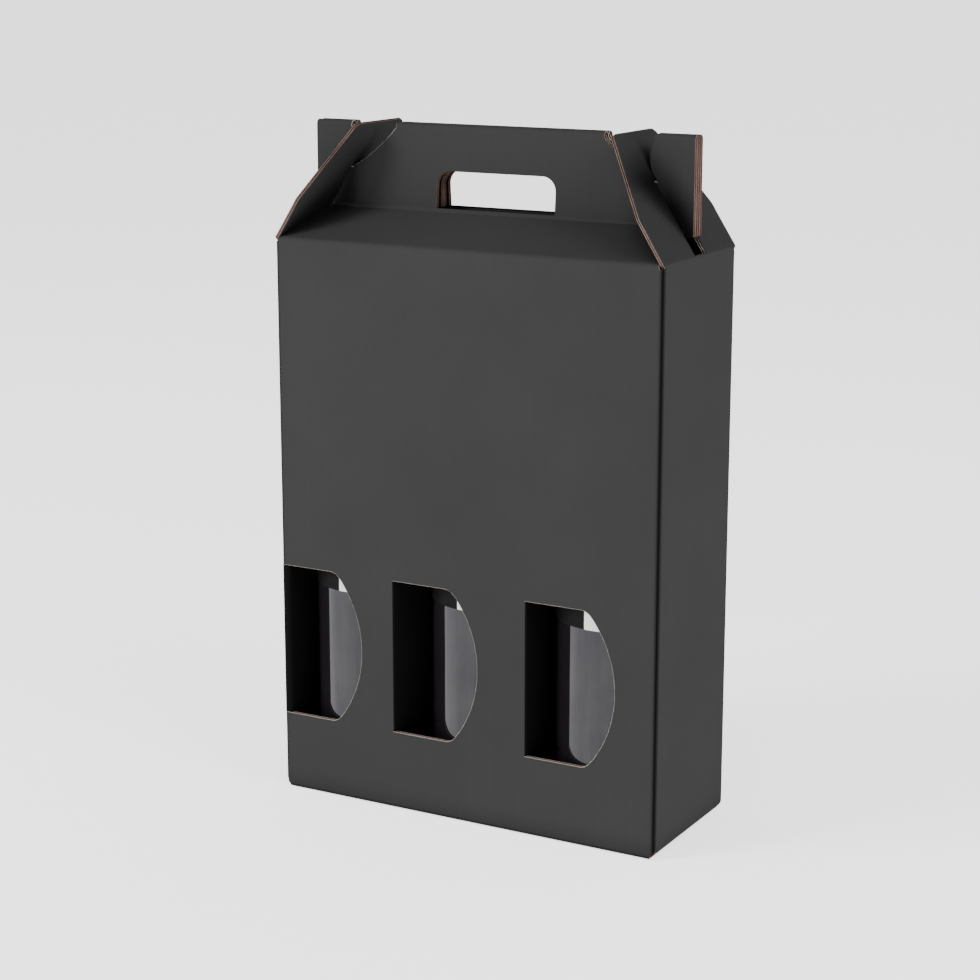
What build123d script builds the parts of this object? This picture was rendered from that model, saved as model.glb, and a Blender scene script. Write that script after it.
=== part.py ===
from build123d import *
import os
from math import atan2, cos, degrees, radians, sin, tan

# Gift carton for three wine bottles, folded from one corrugated blank: a sleeve with a
# lock bottom, three D windows whose flaps fold in as dividers, sloped roof panels that
# run up into a doubled handle, and slotted side flaps that lock over the handle's ends.
# Three labelled bottles stand inside. Millimetres, +Z up, the front faces -Y, and the
# origin is the middle of the underside.

# Board
board = 2.5
fold_radius = 2.6
fold_lap = 3.0
fold_run = 4.0
fold_flat = 0.2
cut_overrun = 5.0

# Bottle, a straight-sided one with high shoulders
bottle_diameter = 75.0
bottle_height = 300.0
bottle_heel_radius = 6.0
punt_radius = 25.0
punt_depth = 17.0
shoulder_radius = 30.0
shoulder_sweep = 55.0
neck_diameter = 28.6
neck_length = 46.4
lip_diameter = 30.0
lip_height = 9.0
lip_drop = 10.0

# Capsule over the neck, and the paper label
capsule_thickness = 0.4
capsule_neck_gap = 7.4
label_thickness = 0.25
label_seat = 0.05
label_top_gap = 2.0
label_height = 66.0
label_wrap = 140.0

# Room that the carton leaves round the bottles
side_play = 8.5
depth_play = 14.4
headroom = 28.0
bottle_play = 0.9
front_play = 0.25

# Windows and their folded flaps
window_sill = 47.3
window_height = 91.6
window_reach = 55.5
window_arc_radius = 68.0
window_corner_radius = 8.0
flap_trim = 0.5
middle_fold_lead = 7.3
right_fold_lead = 0.6

# Roof panels and handle
roof_rise = 15.5
roof_play = 0.6
handle_height = 64.5
handle_end_inset = 2.6
handle_end_gap = 0.2
handle_spread = 19.0
spread_end_inset = 32.0
pinch_end_inset = 14.0
hook_drop = 10.0
grip_length = 76.0
grip_height = 23.0
grip_corner_radius = 8.5

# Side flaps
side_flap_length = 77.3
side_flap_lean = 32.5
side_flap_top_width = 50.0
side_flap_knee = 28.0
side_flap_knee_taper = 0.8
side_flap_corner_radius = 5.5
slot_start = 1.0
slot_play = 1.9

# Notch in each handle end, where the side flap's bridge sits
notch_depth = 26.4
lock_play = 0.7
mouth_inner_room = 15.3
middle_inner_room = 8.5
mouth_outer_room = 16.7
middle_outer_room = 3.6
inner_middle_share = 0.33
outer_middle_share = 0.48

# Lock bottom and glue tab
seam_width = 0.8
seam_offset = 9.0
seam_run = 28.0
tab_width = 28.0
tab_end_gap = 12.0

# Levels and radii of the bottle, from its lip down through two tangent arcs to its body
bottle_radius = bottle_diameter / 2
neck_radius = neck_diameter / 2
lip_radius = lip_diameter / 2
shoulder_turn = radians(shoulder_sweep)
shoulder_end_radius = bottle_radius - shoulder_radius * (1 - cos(shoulder_turn))
root_radius = (shoulder_end_radius - neck_radius) / (1 - cos(shoulder_turn))
lip_top = bottle_height - lip_drop
lip_foot = lip_top - lip_height
neck_foot = lip_foot - neck_length
shoulder_end = neck_foot - root_radius * sin(shoulder_turn)
shoulder_foot = shoulder_end - shoulder_radius * sin(shoulder_turn)

# Sizes of the carton that follow from those above
floor_height = 2 * board
box_width = 2 * board + 3 * (bottle_diameter + board) + side_play
box_depth = 2 * board + bottle_diameter + depth_play
box_height = floor_height + bottle_height + headroom
half_width = box_width / 2
half_depth = box_depth / 2
front_y = -half_depth
lean_sin = sin(radians(side_flap_lean))
lean_cos = cos(radians(side_flap_lean))
lean_tan = tan(radians(side_flap_lean))
handle_half_end = 2 * board + handle_end_gap / 2
handle_half_spread = handle_spread / 2
handle_half_length = half_width - handle_end_inset
spread_x = handle_half_length - spread_end_inset
pinch_x = handle_half_length - pinch_end_inset
roof_pitch = atan2(roof_rise, half_depth - handle_half_spread)

# Where the bottles stand: the left one beside its flap, the middle one beside the next
# flap, the right one beside the wall, all close behind the front panel
label_stand = label_seat + label_thickness
bottle_y = front_y + board + label_stand + front_play + bottle_radius
bottle_gap = bottle_play + label_stand
left_x = -half_width + 2 * board + bottle_gap + bottle_radius
middle_x = left_x + bottle_diameter + board + 2 * bottle_gap
right_x = half_width - board - bottle_gap - bottle_radius
bottle_places = {"left": left_x, "middle": middle_x, "right": right_x}

# A divider stands midway between two bottles, and leans there from a fold line further left
middle_divider_x = (left_x + middle_x + board) / 2
right_divider_x = (middle_x + right_x + board) / 2
middle_fold_x = middle_divider_x - middle_fold_lead
right_fold_x = right_divider_x - right_fold_lead


def flap_face(height, outside=0):
    """X of the right side flap's outer face at a height over the box, moved outside."""
    return half_width - height * lean_tan + outside


def window_outline(start, trim=0):
    """D outline in (reach from the fold, height), from start to the round end, trimmed all round."""
    half_height = window_height / 2 - trim
    radius = window_arc_radius - trim
    arc_centre = window_reach - window_arc_radius
    shoulder = arc_centre + (radius**2 - half_height**2) ** 0.5
    top = (shoulder, half_height)
    bottom = (shoulder, -half_height)
    edges = [
        Line((start, half_height), top),
        ThreePointArc(top, (arc_centre + radius, 0), bottom),
        Line(bottom, (start, -half_height)),
        Line((start, -half_height), (start, half_height)),
    ]
    face = make_face(edges)
    round_end = face.vertices().sort_by(Axis.X)[-2:]
    return fillet(round_end, window_corner_radius)


def window_plane(fold_x):
    """Plane of the front panel's outer face, with its origin on a window's fold line."""
    origin = (fold_x, front_y, window_sill + window_height / 2)
    return Plane(origin=origin, x_dir=(1, 0, 0), z_dir=(0, -1, 0))


def bent_panel(turn, reach):
    """Section of a panel in (inward, height over the box): up a wall, then round its top fold."""
    heading = Vector(sin(turn), cos(turn))
    inside = Vector(cos(turn), -sin(turn))
    tip = reach * heading
    outline = [
        (0, -fold_lap),
        (0, 0),
        (tip.X, tip.Y),
        (tip.X + board * inside.X, tip.Y + board * inside.Y),
        (board, -board * tan(turn / 2)),
        (board, -fold_lap),
    ]
    face = make_face(Polyline(*outline, close=True))
    return fillet(face.vertices().sort_by_distance((0, 0))[0], fold_radius)


def window_cut(fold_x, start=0):
    """Prism that opens one window in the front panel."""
    outline = window_plane(fold_x) * window_outline(start)
    return extrude(outline, cut_overrun) + extrude(outline, -board)


def window_flap(fold_x, turn, start=0):
    """A window's flap, turned in about its fold line, from a start beside that line."""
    panel = extrude(Plane.XZ * window_outline(start, flap_trim), -board)
    height = window_sill + window_height / 2
    return Pos(fold_x, front_y, height) * Rot(0, 0, degrees(turn)) * panel


def window_fold(fold_x, turn):
    """The bend from the front panel into a window's flap."""
    origin = (fold_x, front_y, window_sill + flap_trim)
    plane = Plane(origin=origin, x_dir=(0, 1, 0), z_dir=(0, 0, -1))
    return extrude(plane * bent_panel(turn, fold_run), 2 * flap_trim - window_height)


def build_sleeve():
    """Four walls and the doubled floor, with the lock bottom's seam underneath."""
    at_foot = (Align.CENTER, Align.CENTER, Align.MIN)
    block = Box(box_width, box_depth, box_height - fold_lap, align=at_foot)
    block = fillet(block.edges().filter_by(Axis.Z), fold_radius)
    inner_width = box_width - 2 * board
    inner_depth = box_depth - 2 * board
    room = Pos(0, 0, floor_height) * Box(inner_width, inner_depth, box_height, align=at_foot)
    tab_height = box_height - floor_height - 2 * tab_end_gap
    tab_x = -inner_width / 2 + tab_width / 2
    tab_y = inner_depth / 2 - board / 2
    tab = Pos(tab_x, tab_y, floor_height + tab_end_gap) * Box(tab_width, board, tab_height, align=at_foot)
    return block - room - lock_seam() + tab


def lock_seam():
    """Groove where the two outer bottom panels hook into each other."""
    end_x = half_width - board
    turn_x = seam_run / 2
    half_seam = seam_width / 2
    upper = [
        (-end_x, seam_offset + half_seam),
        (-turn_x, seam_offset + half_seam),
        (turn_x, -seam_offset + half_seam),
        (end_x, -seam_offset + half_seam),
    ]
    lower = [(x, y - seam_width) for x, y in reversed(upper)]
    return extrude(make_face(Polyline(*upper, *lower, close=True)), board)


def build_windows(carton):
    """The three windows cut out, and their flaps folded in: the left one back on the wall."""
    wall_face = -half_width + board
    left_fold_x = wall_face + board
    back_flap = window_flap(left_fold_x, radians(90))
    fold_spot = (left_fold_x, front_y, window_sill + window_height / 2)
    fold_edge = back_flap.edges().filter_by(Axis.Z).sort_by_distance(fold_spot)[0]
    carton -= window_cut(-half_width, board)
    carton += fillet(fold_edge, board - fold_flat)
    for fold_x, stand_x in ((middle_fold_x, middle_divider_x), (right_fold_x, right_divider_x)):
        turn = atan2(bottle_y - front_y, stand_x - fold_x)
        carton -= window_cut(fold_x, -fold_lap)
        carton += window_flap(fold_x, turn, fold_radius * tan(turn / 2))
        carton += window_fold(fold_x, turn)
    return carton


def build_roof():
    """Front and back roof panels, trimmed where the side flaps lean over them."""
    reach = (half_depth - handle_half_end) / cos(roof_pitch)
    section = Pos(-half_depth, box_height) * bent_panel(radians(90) - roof_pitch, reach)
    front = extrude(Plane.YZ * section, half_width - fold_radius, both=True)
    inset = board / lean_cos + roof_play
    low = -fold_lap
    high = handle_height
    trim = [
        (flap_face(low, -inset), box_height + low),
        (flap_face(low, cut_overrun), box_height + low),
        (flap_face(low, cut_overrun), box_height + high),
        (flap_face(high, -inset), box_height + high),
    ]
    beyond = extrude(Plane.XZ * make_face(Polyline(*trim, close=True)), half_depth, both=True)
    roof = front + mirror(front, Plane.XZ)
    return roof - beyond - mirror(beyond, Plane.YZ)


def handle_section(level, half_spread):
    """Plan of the front handle panel at a level over the box: spread, and pinched at both ends."""
    outer = [
        (-handle_half_length, -handle_half_end),
        (-pinch_x, -handle_half_end),
        (-spread_x, -half_spread),
        (spread_x, -half_spread),
        (pinch_x, -handle_half_end),
        (handle_half_length, -handle_half_end),
    ]
    back_y = -handle_end_gap / 2
    inner = [(handle_half_length, back_y), (-handle_half_length, back_y)]
    return Pos(0, 0, box_height + level) * make_face(Polyline(*outer, *inner, close=True))


def layer_gap(level):
    """Plan of the room between the front handle panel's two layers at a level over the box."""
    low_share = (handle_height - level) / (handle_height - hook_drop)
    room = low_share * (handle_half_spread - handle_half_end)
    fold_y = -handle_half_end + board
    points = [(-pinch_x, fold_y), (-spread_x, fold_y - room), (spread_x, fold_y - room), (pinch_x, fold_y)]
    return Pos(0, 0, box_height + level) * make_face(Polyline(*points, close=True))


def handle_panel():
    """Front handle panel, folded over at its top: one layer slopes out, the other hangs straight."""
    foot = handle_section(hook_drop, handle_half_spread)
    top = handle_section(handle_height, handle_half_end)
    room = loft([layer_gap(hook_drop), layer_gap(handle_height - board)], ruled=True)
    panel = loft([foot, top], ruled=True) - room
    top_edges = panel.edges().group_by(Axis.Z)[-1].filter_by(Axis.X)
    return fillet(top_edges, board - fold_flat)


def notch_cut():
    """Prism that notches the right end of the handle for the side flap's bridge."""
    floor = handle_height - notch_depth
    top = handle_height
    inner_middle = floor + notch_depth * inner_middle_share
    outer_middle = floor + notch_depth * outer_middle_share
    inside = -board / lean_cos
    inner_floor = (flap_face(floor, inside - lock_play), floor)
    inner_bend = (flap_face(inner_middle, inside - middle_inner_room), inner_middle)
    inner_top = (flap_face(top, inside - mouth_inner_room), top)
    outer_floor = (flap_face(floor, 2 * lock_play), floor)
    outer_bend = (flap_face(outer_middle, middle_outer_room), outer_middle)
    outer_top = (flap_face(top, mouth_outer_room), top)
    edges = [
        ThreePointArc(inner_top, inner_bend, inner_floor),
        Line(inner_floor, outer_floor),
        ThreePointArc(outer_floor, outer_bend, outer_top),
        Line(outer_top, inner_top),
    ]
    outline = Plane.XZ * Pos(0, box_height, 0) * make_face(edges)
    return extrude(outline, half_depth, both=True)


def grip_cut():
    """Prism for the hand hole, square at the roof and rounded at the top."""
    floor = box_height + roof_rise
    face = Pos(0, floor + grip_height / 2) * Rectangle(grip_length, grip_height)
    face = fillet(face.vertices().sort_by(Axis.Y)[-2:], grip_corner_radius)
    return extrude(Plane.XZ * face, half_depth, both=True)


def under_roof():
    """The space below the roof panels, between the handle's hooks."""
    drop = board / cos(roof_pitch)
    eaves = box_height - drop
    peak = eaves + half_depth * tan(roof_pitch)
    points = [(-half_depth, eaves), (0, peak), (half_depth, eaves)]
    reach = flap_face(roof_rise, -board / lean_cos - roof_play)
    return extrude(Plane.YZ * make_face(Polyline(*points, close=True)), reach, both=True)


def build_handle():
    """Both handle panels with the hand hole and the two notches."""
    panel = handle_panel()
    notch = notch_cut()
    handle = panel + mirror(panel, Plane.XZ)
    return handle - under_roof() - grip_cut() - notch - mirror(notch, Plane.YZ)


def side_flap():
    """Right side flap, leaning in over the roof, with its slot for the handle's end."""
    origin = (half_width, 0, box_height)
    plane = Plane(origin=origin, x_dir=(0, 1, 0), z_dir=(lean_cos, 0, lean_sin))
    knee_half = half_depth - side_flap_knee_taper
    top_half = side_flap_top_width / 2
    lean = radians(side_flap_lean)
    start = fold_radius * tan(lean / 2)
    side = [(half_depth, start), (knee_half, side_flap_knee), (top_half, side_flap_length)]
    other = [(-y, r) for y, r in reversed(side)]
    face = make_face(Polyline(*side, *other, close=True))
    face = fillet(face.vertices().sort_by(Axis.Y)[-2:], side_flap_corner_radius)
    notch_floor = handle_height - notch_depth
    slot_end = (notch_floor + lock_play + board * lean_sin) / lean_cos
    slot_width = 2 * (handle_half_end + slot_play)
    slot_height = slot_end - slot_start
    slot = Pos(0, slot_start + slot_height / 2) * Rectangle(slot_width, slot_height)
    section = mirror(bent_panel(lean, fold_run), Plane.YZ)
    fold = extrude(Plane.XZ * Pos(half_width, box_height) * section, half_depth - fold_radius, both=True)
    return extrude(plane * face, -board) + fold - extrude(plane * slot, -board)


def build_carton():
    """The whole folded blank as one solid."""
    flap = side_flap()
    carton = build_windows(build_sleeve())
    carton += build_roof()
    carton += build_handle()
    carton += flap
    carton += mirror(flap, Plane.YZ)
    return carton


def bottle_outline():
    """Half section of the sealed bottle, from the punt to the lip."""
    heel = bottle_heel_radius
    heel_bend = (bottle_radius - heel * (1 - cos(radians(45))), heel * (1 - sin(radians(45))))
    punt_bend = (punt_radius * sin(radians(45)), punt_depth * sin(radians(45)))
    half_turn = shoulder_turn / 2
    shoulder_bend = (
        bottle_radius - shoulder_radius * (1 - cos(half_turn)),
        shoulder_foot + shoulder_radius * sin(half_turn),
    )
    root_bend = (
        neck_radius + root_radius * (1 - cos(half_turn)),
        neck_foot - root_radius * sin(half_turn),
    )
    return [
        ThreePointArc((0, punt_depth), punt_bend, (punt_radius, 0)),
        Line((punt_radius, 0), (bottle_radius - heel, 0)),
        ThreePointArc((bottle_radius - heel, 0), heel_bend, (bottle_radius, heel)),
        Line((bottle_radius, heel), (bottle_radius, shoulder_foot)),
        ThreePointArc((bottle_radius, shoulder_foot), shoulder_bend, (shoulder_end_radius, shoulder_end)),
        ThreePointArc((shoulder_end_radius, shoulder_end), root_bend, (neck_radius, neck_foot)),
        Polyline(
            (neck_radius, neck_foot),
            (neck_radius, lip_foot),
            (lip_radius, lip_foot),
            (lip_radius, lip_top),
            (neck_radius, lip_top),
            (neck_radius, bottle_height),
            (0, bottle_height),
            (0, punt_depth),
        ),
    ]


def build_bottle():
    """Sealed bottle, as one turned solid."""
    return revolve(Plane.XZ * make_face(bottle_outline()), Axis.Z)


def build_capsule():
    """Sleeve of foil over the neck and lip, closed at the top."""
    skin = capsule_thickness
    foot = neck_foot + capsule_neck_gap
    inner = [
        (neck_radius, foot),
        (neck_radius, lip_foot),
        (lip_radius, lip_foot),
        (lip_radius, lip_top),
        (neck_radius, lip_top),
        (neck_radius, bottle_height),
        (0, bottle_height),
    ]
    outer = [
        (0, bottle_height + skin),
        (neck_radius + skin, bottle_height + skin),
        (neck_radius + skin, lip_top + skin),
        (lip_radius + skin, lip_top + skin),
        (lip_radius + skin, lip_foot - skin),
        (neck_radius + skin, lip_foot - skin),
        (neck_radius + skin, foot),
    ]
    return revolve(Plane.XZ * make_face(Polyline(*inner, *outer, close=True)), Axis.Z)


def build_label():
    """Paper label on the front of the bottle."""
    middle = shoulder_foot - label_top_gap - label_height / 2
    section = Pos(bottle_radius + label_stand - label_thickness / 2, middle)
    section *= Rectangle(label_thickness, label_height)
    turn = -90 - label_wrap / 2
    return Rot(0, 0, turn) * revolve(Plane.XZ * section, Axis.Z, label_wrap)


parts = {"carton": build_carton()}
pieces = {"bottle": build_bottle(), "capsule": build_capsule(), "label": build_label()}
for place, x in bottle_places.items():
    for kind, piece in pieces.items():
        parts[f"{kind}_{place}"] = Pos(x, bottle_y, floor_height) * piece

os.makedirs("parts", exist_ok=True)
for name, part in parts.items():
    export_step(part, f"parts/{name}.step")
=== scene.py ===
from math import acos, atan2, ceil, cos, exp, pi, radians, sin, sqrt, tan

import bmesh
import bpy
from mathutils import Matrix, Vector


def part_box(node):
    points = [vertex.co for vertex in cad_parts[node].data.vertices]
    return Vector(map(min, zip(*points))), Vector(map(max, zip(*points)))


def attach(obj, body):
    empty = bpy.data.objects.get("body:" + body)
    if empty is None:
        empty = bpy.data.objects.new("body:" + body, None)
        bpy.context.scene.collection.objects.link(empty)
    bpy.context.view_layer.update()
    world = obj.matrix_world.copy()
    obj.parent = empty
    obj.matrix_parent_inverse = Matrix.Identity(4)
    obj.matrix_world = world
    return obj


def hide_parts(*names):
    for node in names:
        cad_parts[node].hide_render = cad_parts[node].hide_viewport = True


# A black corrugated carton for three wine bottles, in millimetres until a mesh is made.
# Every panel of the folded blank is a sheet with two liners and a fluted medium between them.
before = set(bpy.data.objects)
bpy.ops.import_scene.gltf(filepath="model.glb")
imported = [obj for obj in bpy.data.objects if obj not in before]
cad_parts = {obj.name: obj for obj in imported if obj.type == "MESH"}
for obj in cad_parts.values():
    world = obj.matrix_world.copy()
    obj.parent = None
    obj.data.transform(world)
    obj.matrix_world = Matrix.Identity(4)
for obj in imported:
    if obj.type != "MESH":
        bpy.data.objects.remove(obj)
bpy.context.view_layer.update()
metre = 0.001

# The carton's own sizes, its width and depth from the frame
carton_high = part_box("carton")[1]
half_width = carton_high[0] / metre
half_depth = carton_high[1] / metre
box_height = 333.0

# Board
board = 2.5
medium = 0.30
rim_width = 0.24

# Bevels of the cut edges, as how far in and how deep
clean_edge = (0.10, 0.08)
crushed_edge = (0.45, 0.52)

# Flutes, folds and score grooves
across_channel = 1.3
along_channel = 0.3
medium_recess = 0.15
flute_pitch = 6.4
fold_radius = 2.6
crease_radius = 0.8
wall_lap = 2.4
groove_depth = 0.9
groove_spread = 17.0
groove_shade_width = 1.5
flute_steps = 14
steepest_flute = 1.6
sharpest_mitre = 0.4

# Windows and their flaps
window_sill = 47.3
window_height = 91.6
window_reach = 55.5
window_arc_radius = 68.0
window_corner_radius = 8.0
flap_trim = 0.5
flap_fold_radius = 1.2
flap_shade_start = 0.5
window_rim_margin = 1.0
middle_fold_x = -45.4
middle_flap_turn = 79.8
right_fold_x = 41.85
right_flap_turn = 89.15

# Roof, handle and side flaps
roof_rise = 15.5
joint_rise = 2.0
handle_height = 64.5
handle_end_inset = 2.6
spread_inset = 32.0
pinch_inset = 14.0
handle_half_length = half_width - handle_end_inset
spread_x = handle_half_length - spread_inset
pinch_x = handle_half_length - pinch_inset
handle_half_end = 5.1
handle_half_spread = 9.5
hook_drop = 10.0
roof_end_play = 0.6
grip_length = 76.0
grip_height = 23.0
grip_corner_radius = 8.5
side_flap_length = 77.3
side_flap_lean = 32.5
side_flap_top_width = 50.0
side_flap_knee = 28.0
side_flap_knee_taper = 0.8
side_flap_corner_radius = 5.5
side_flap_foot_play = 0.2
slot_start = 1.0
slot_half_width = 7.0
# Reach and strength of the painted shadow on the side flaps beside the handle's hook
pocket_start = 1.5
pocket_growth = 31.0
pocket_growth_power = 1.7
pocket_rise_power = 0.2
pocket_edge_power = 3
pocket_fade = 22.0
# Reach, top and fade of the painted shadow on the hook's face
hook_pocket = 11.0
hook_pocket_top = 52.0
hook_pocket_fade = 2.0
notch_depth = 26.4
lock_play = 0.7
mouth_inner_room = 15.3
middle_inner_room = 8.5
mouth_outer_room = 16.7
middle_outer_room = 3.6
inner_middle_share = 0.33
outer_middle_share = 0.48

# Bottom panels
seam_gap = 0.8
seam_offset = 9.0
seam_run = 28.0
bottom_end_play = 1.2
side_bottom_reach = 60.0
side_bottom_taper_share = 0.8

# Bottle and label
bottle_radius = 37.5
bottle_height = 300.0
heel_radius = 6.0
punt_radius = 25.0
punt_depth = 17.0
shoulder_radius = 30.0
shoulder_sweep = 55.0
neck_radius = 14.3
neck_length = 46.4
lip_radius = 15.0
lip_height = 9.0
lip_drop = 10.0
label_gap = 0.06
label_thickness = 0.24
label_height = 66.0
label_wrap = 140.0
panel_start = -8.0

# Steps of the meshes
bend_steps = 7
corner_steps = 8
window_arc_steps = 72
window_arc_lead = 6
window_corner_clear = 1.0
wall_grid_step = 16.0
grid_step = 14.0
panel_grid_step = 12.0
handle_grid_step = 5.0
hook_grid_step = 2.5
side_flap_grid_across = 3.0
side_flap_grid_along = 4.0
side_flap_grid_start = 2.0
upright_fold_steps = 16
top_fold_steps = 10
notch_steps = 20
grip_corner_steps = 10
fold_margin = 1.0
crease_margin = 0.8
punt_steps = 10
heel_steps = 8
shoulder_steps = 12
straight_margin = 0.5
turn_steps = 160
label_step = 2.0
sharp_angle = 35.0

# Small distances, to tell places apart
near = 0.01
rim_margin = 0.1
weld = 0.002
shortest_run = 1e-4
tiny = 1e-6

# Places around the carton, counted by quarter turns from the front
FRONT, RIGHT, BACK, LEFT = range(4)

# The carton's materials, in the order of its slots
# LIT_CREAM is a paler copy of the rim paper, partly the pale colour of cut paper and partly painted highlight
# where cut edges catch the light
LINER, RIM, KRAFT, LIT_CREAM = range(4)

lean_sin = sin(radians(side_flap_lean))
lean_cos = cos(radians(side_flap_lean))
lean_tan = tan(radians(side_flap_lean))


def arc_points(start, middle, end, steps):
    """Points along the circle through three points, from start to end."""
    (ax, ay), (bx, by), (cx, cy) = start, middle, end
    d = 2 * (ax * (by - cy) + bx * (cy - ay) + cx * (ay - by))
    a2, b2, c2 = ax * ax + ay * ay, bx * bx + by * by, cx * cx + cy * cy
    ox = (a2 * (by - cy) + b2 * (cy - ay) + c2 * (ay - by)) / d
    oy = (a2 * (cx - bx) + b2 * (ax - cx) + c2 * (bx - ax)) / d
    radius = sqrt((ax - ox) ** 2 + (ay - oy) ** 2)
    first = atan2(ay - oy, ax - ox)
    turn_middle = (atan2(by - oy, bx - ox) - first) % (2 * pi)
    turn_end = (atan2(cy - oy, cx - ox) - first) % (2 * pi)
    if turn_middle > turn_end:
        turn_end -= 2 * pi
    angles = [first + turn_end * i / steps for i in range(steps + 1)]
    return [(ox + radius * cos(angle), oy + radius * sin(angle)) for angle in angles]


def round_corner(before, corner, after, radius, steps):
    """Points of the fillet at a corner of an outline."""
    corner = Vector(corner)
    back = (Vector(before) - corner).normalized()
    ahead = (Vector(after) - corner).normalized()
    half = acos(max(-1.0, min(1.0, back.dot(ahead)))) / 2
    inset = radius / tan(half)
    centre = corner + (back + ahead).normalized() * radius / sin(half)
    middle = centre + (corner - centre).normalized() * radius
    return arc_points(corner + back * inset, middle, corner + ahead * inset, steps)


def rotated(vector, angle):
    """A flat vector turned anticlockwise."""
    x = vector.x * cos(angle) - vector.y * sin(angle)
    y = vector.x * sin(angle) + vector.y * cos(angle)
    return Vector((x, y))


class Bend:
    """A line of straight runs and fillets in a plane, followed by its length."""

    def __init__(self, points, radii, side=1):
        self.side = side
        self.runs = []
        self.breaks = []
        here = Vector(points[0])
        along = 0.0
        for i, radius in enumerate(radii, 1):
            corner = Vector(points[i])
            ahead = (Vector(points[i + 1]) - corner).normalized()
            heading = (corner - here).normalized()
            turn = atan2(heading.x * ahead.y - heading.y * ahead.x, heading.dot(ahead))
            inset = radius * tan(abs(turn) / 2)
            start = corner - heading * inset
            along = self.straight(here, start, along)
            self.runs.append((along, along + radius * abs(turn), start, heading, turn, radius))
            self.breaks += [along + radius * abs(turn) * k / bend_steps for k in range(bend_steps + 1)]
            along += radius * abs(turn)
            here = corner + ahead * inset
        self.length = self.straight(here, Vector(points[-1]), along)

    def straight(self, start, end, along):
        """Add a straight run, unless it has no length, and give the length at its end."""
        run = end - start
        if run.length < shortest_run:
            return along
        self.runs.append((along, along + run.length, start, run.normalized(), 0.0, 0.0))
        return along + run.length

    def at(self, along, depth):
        """Point at a length along the line, and at a depth below its outer side."""
        run = self.runs[-1]
        for candidate in self.runs:
            if along <= candidate[1]:
                run = candidate
                break
        first, last, start, heading, turn, radius = run
        if turn == 0.0:
            point = start + heading * (along - first)
            normal = Vector((-heading.y, heading.x)) * self.side
        else:
            share = (along - first) / (last - first)
            sense = 1 if turn > 0 else -1
            left = Vector((-heading.y, heading.x))
            centre = start + left * radius * sense
            angle = turn * share
            point = centre + rotated(start - centre, angle)
            ahead = rotated(heading, angle)
            normal = Vector((-ahead.y, ahead.x)) * self.side
        return point - normal * depth


def on_side(side, across, inward, height):
    """Point in the frame from a side's own place: across it, inward of it, and up."""
    half = half_depth if side in (FRONT, BACK) else half_width
    x, y = across, inward - half
    for _ in range(side):
        x, y = -y, x
    return Vector((x, y, height))


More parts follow.
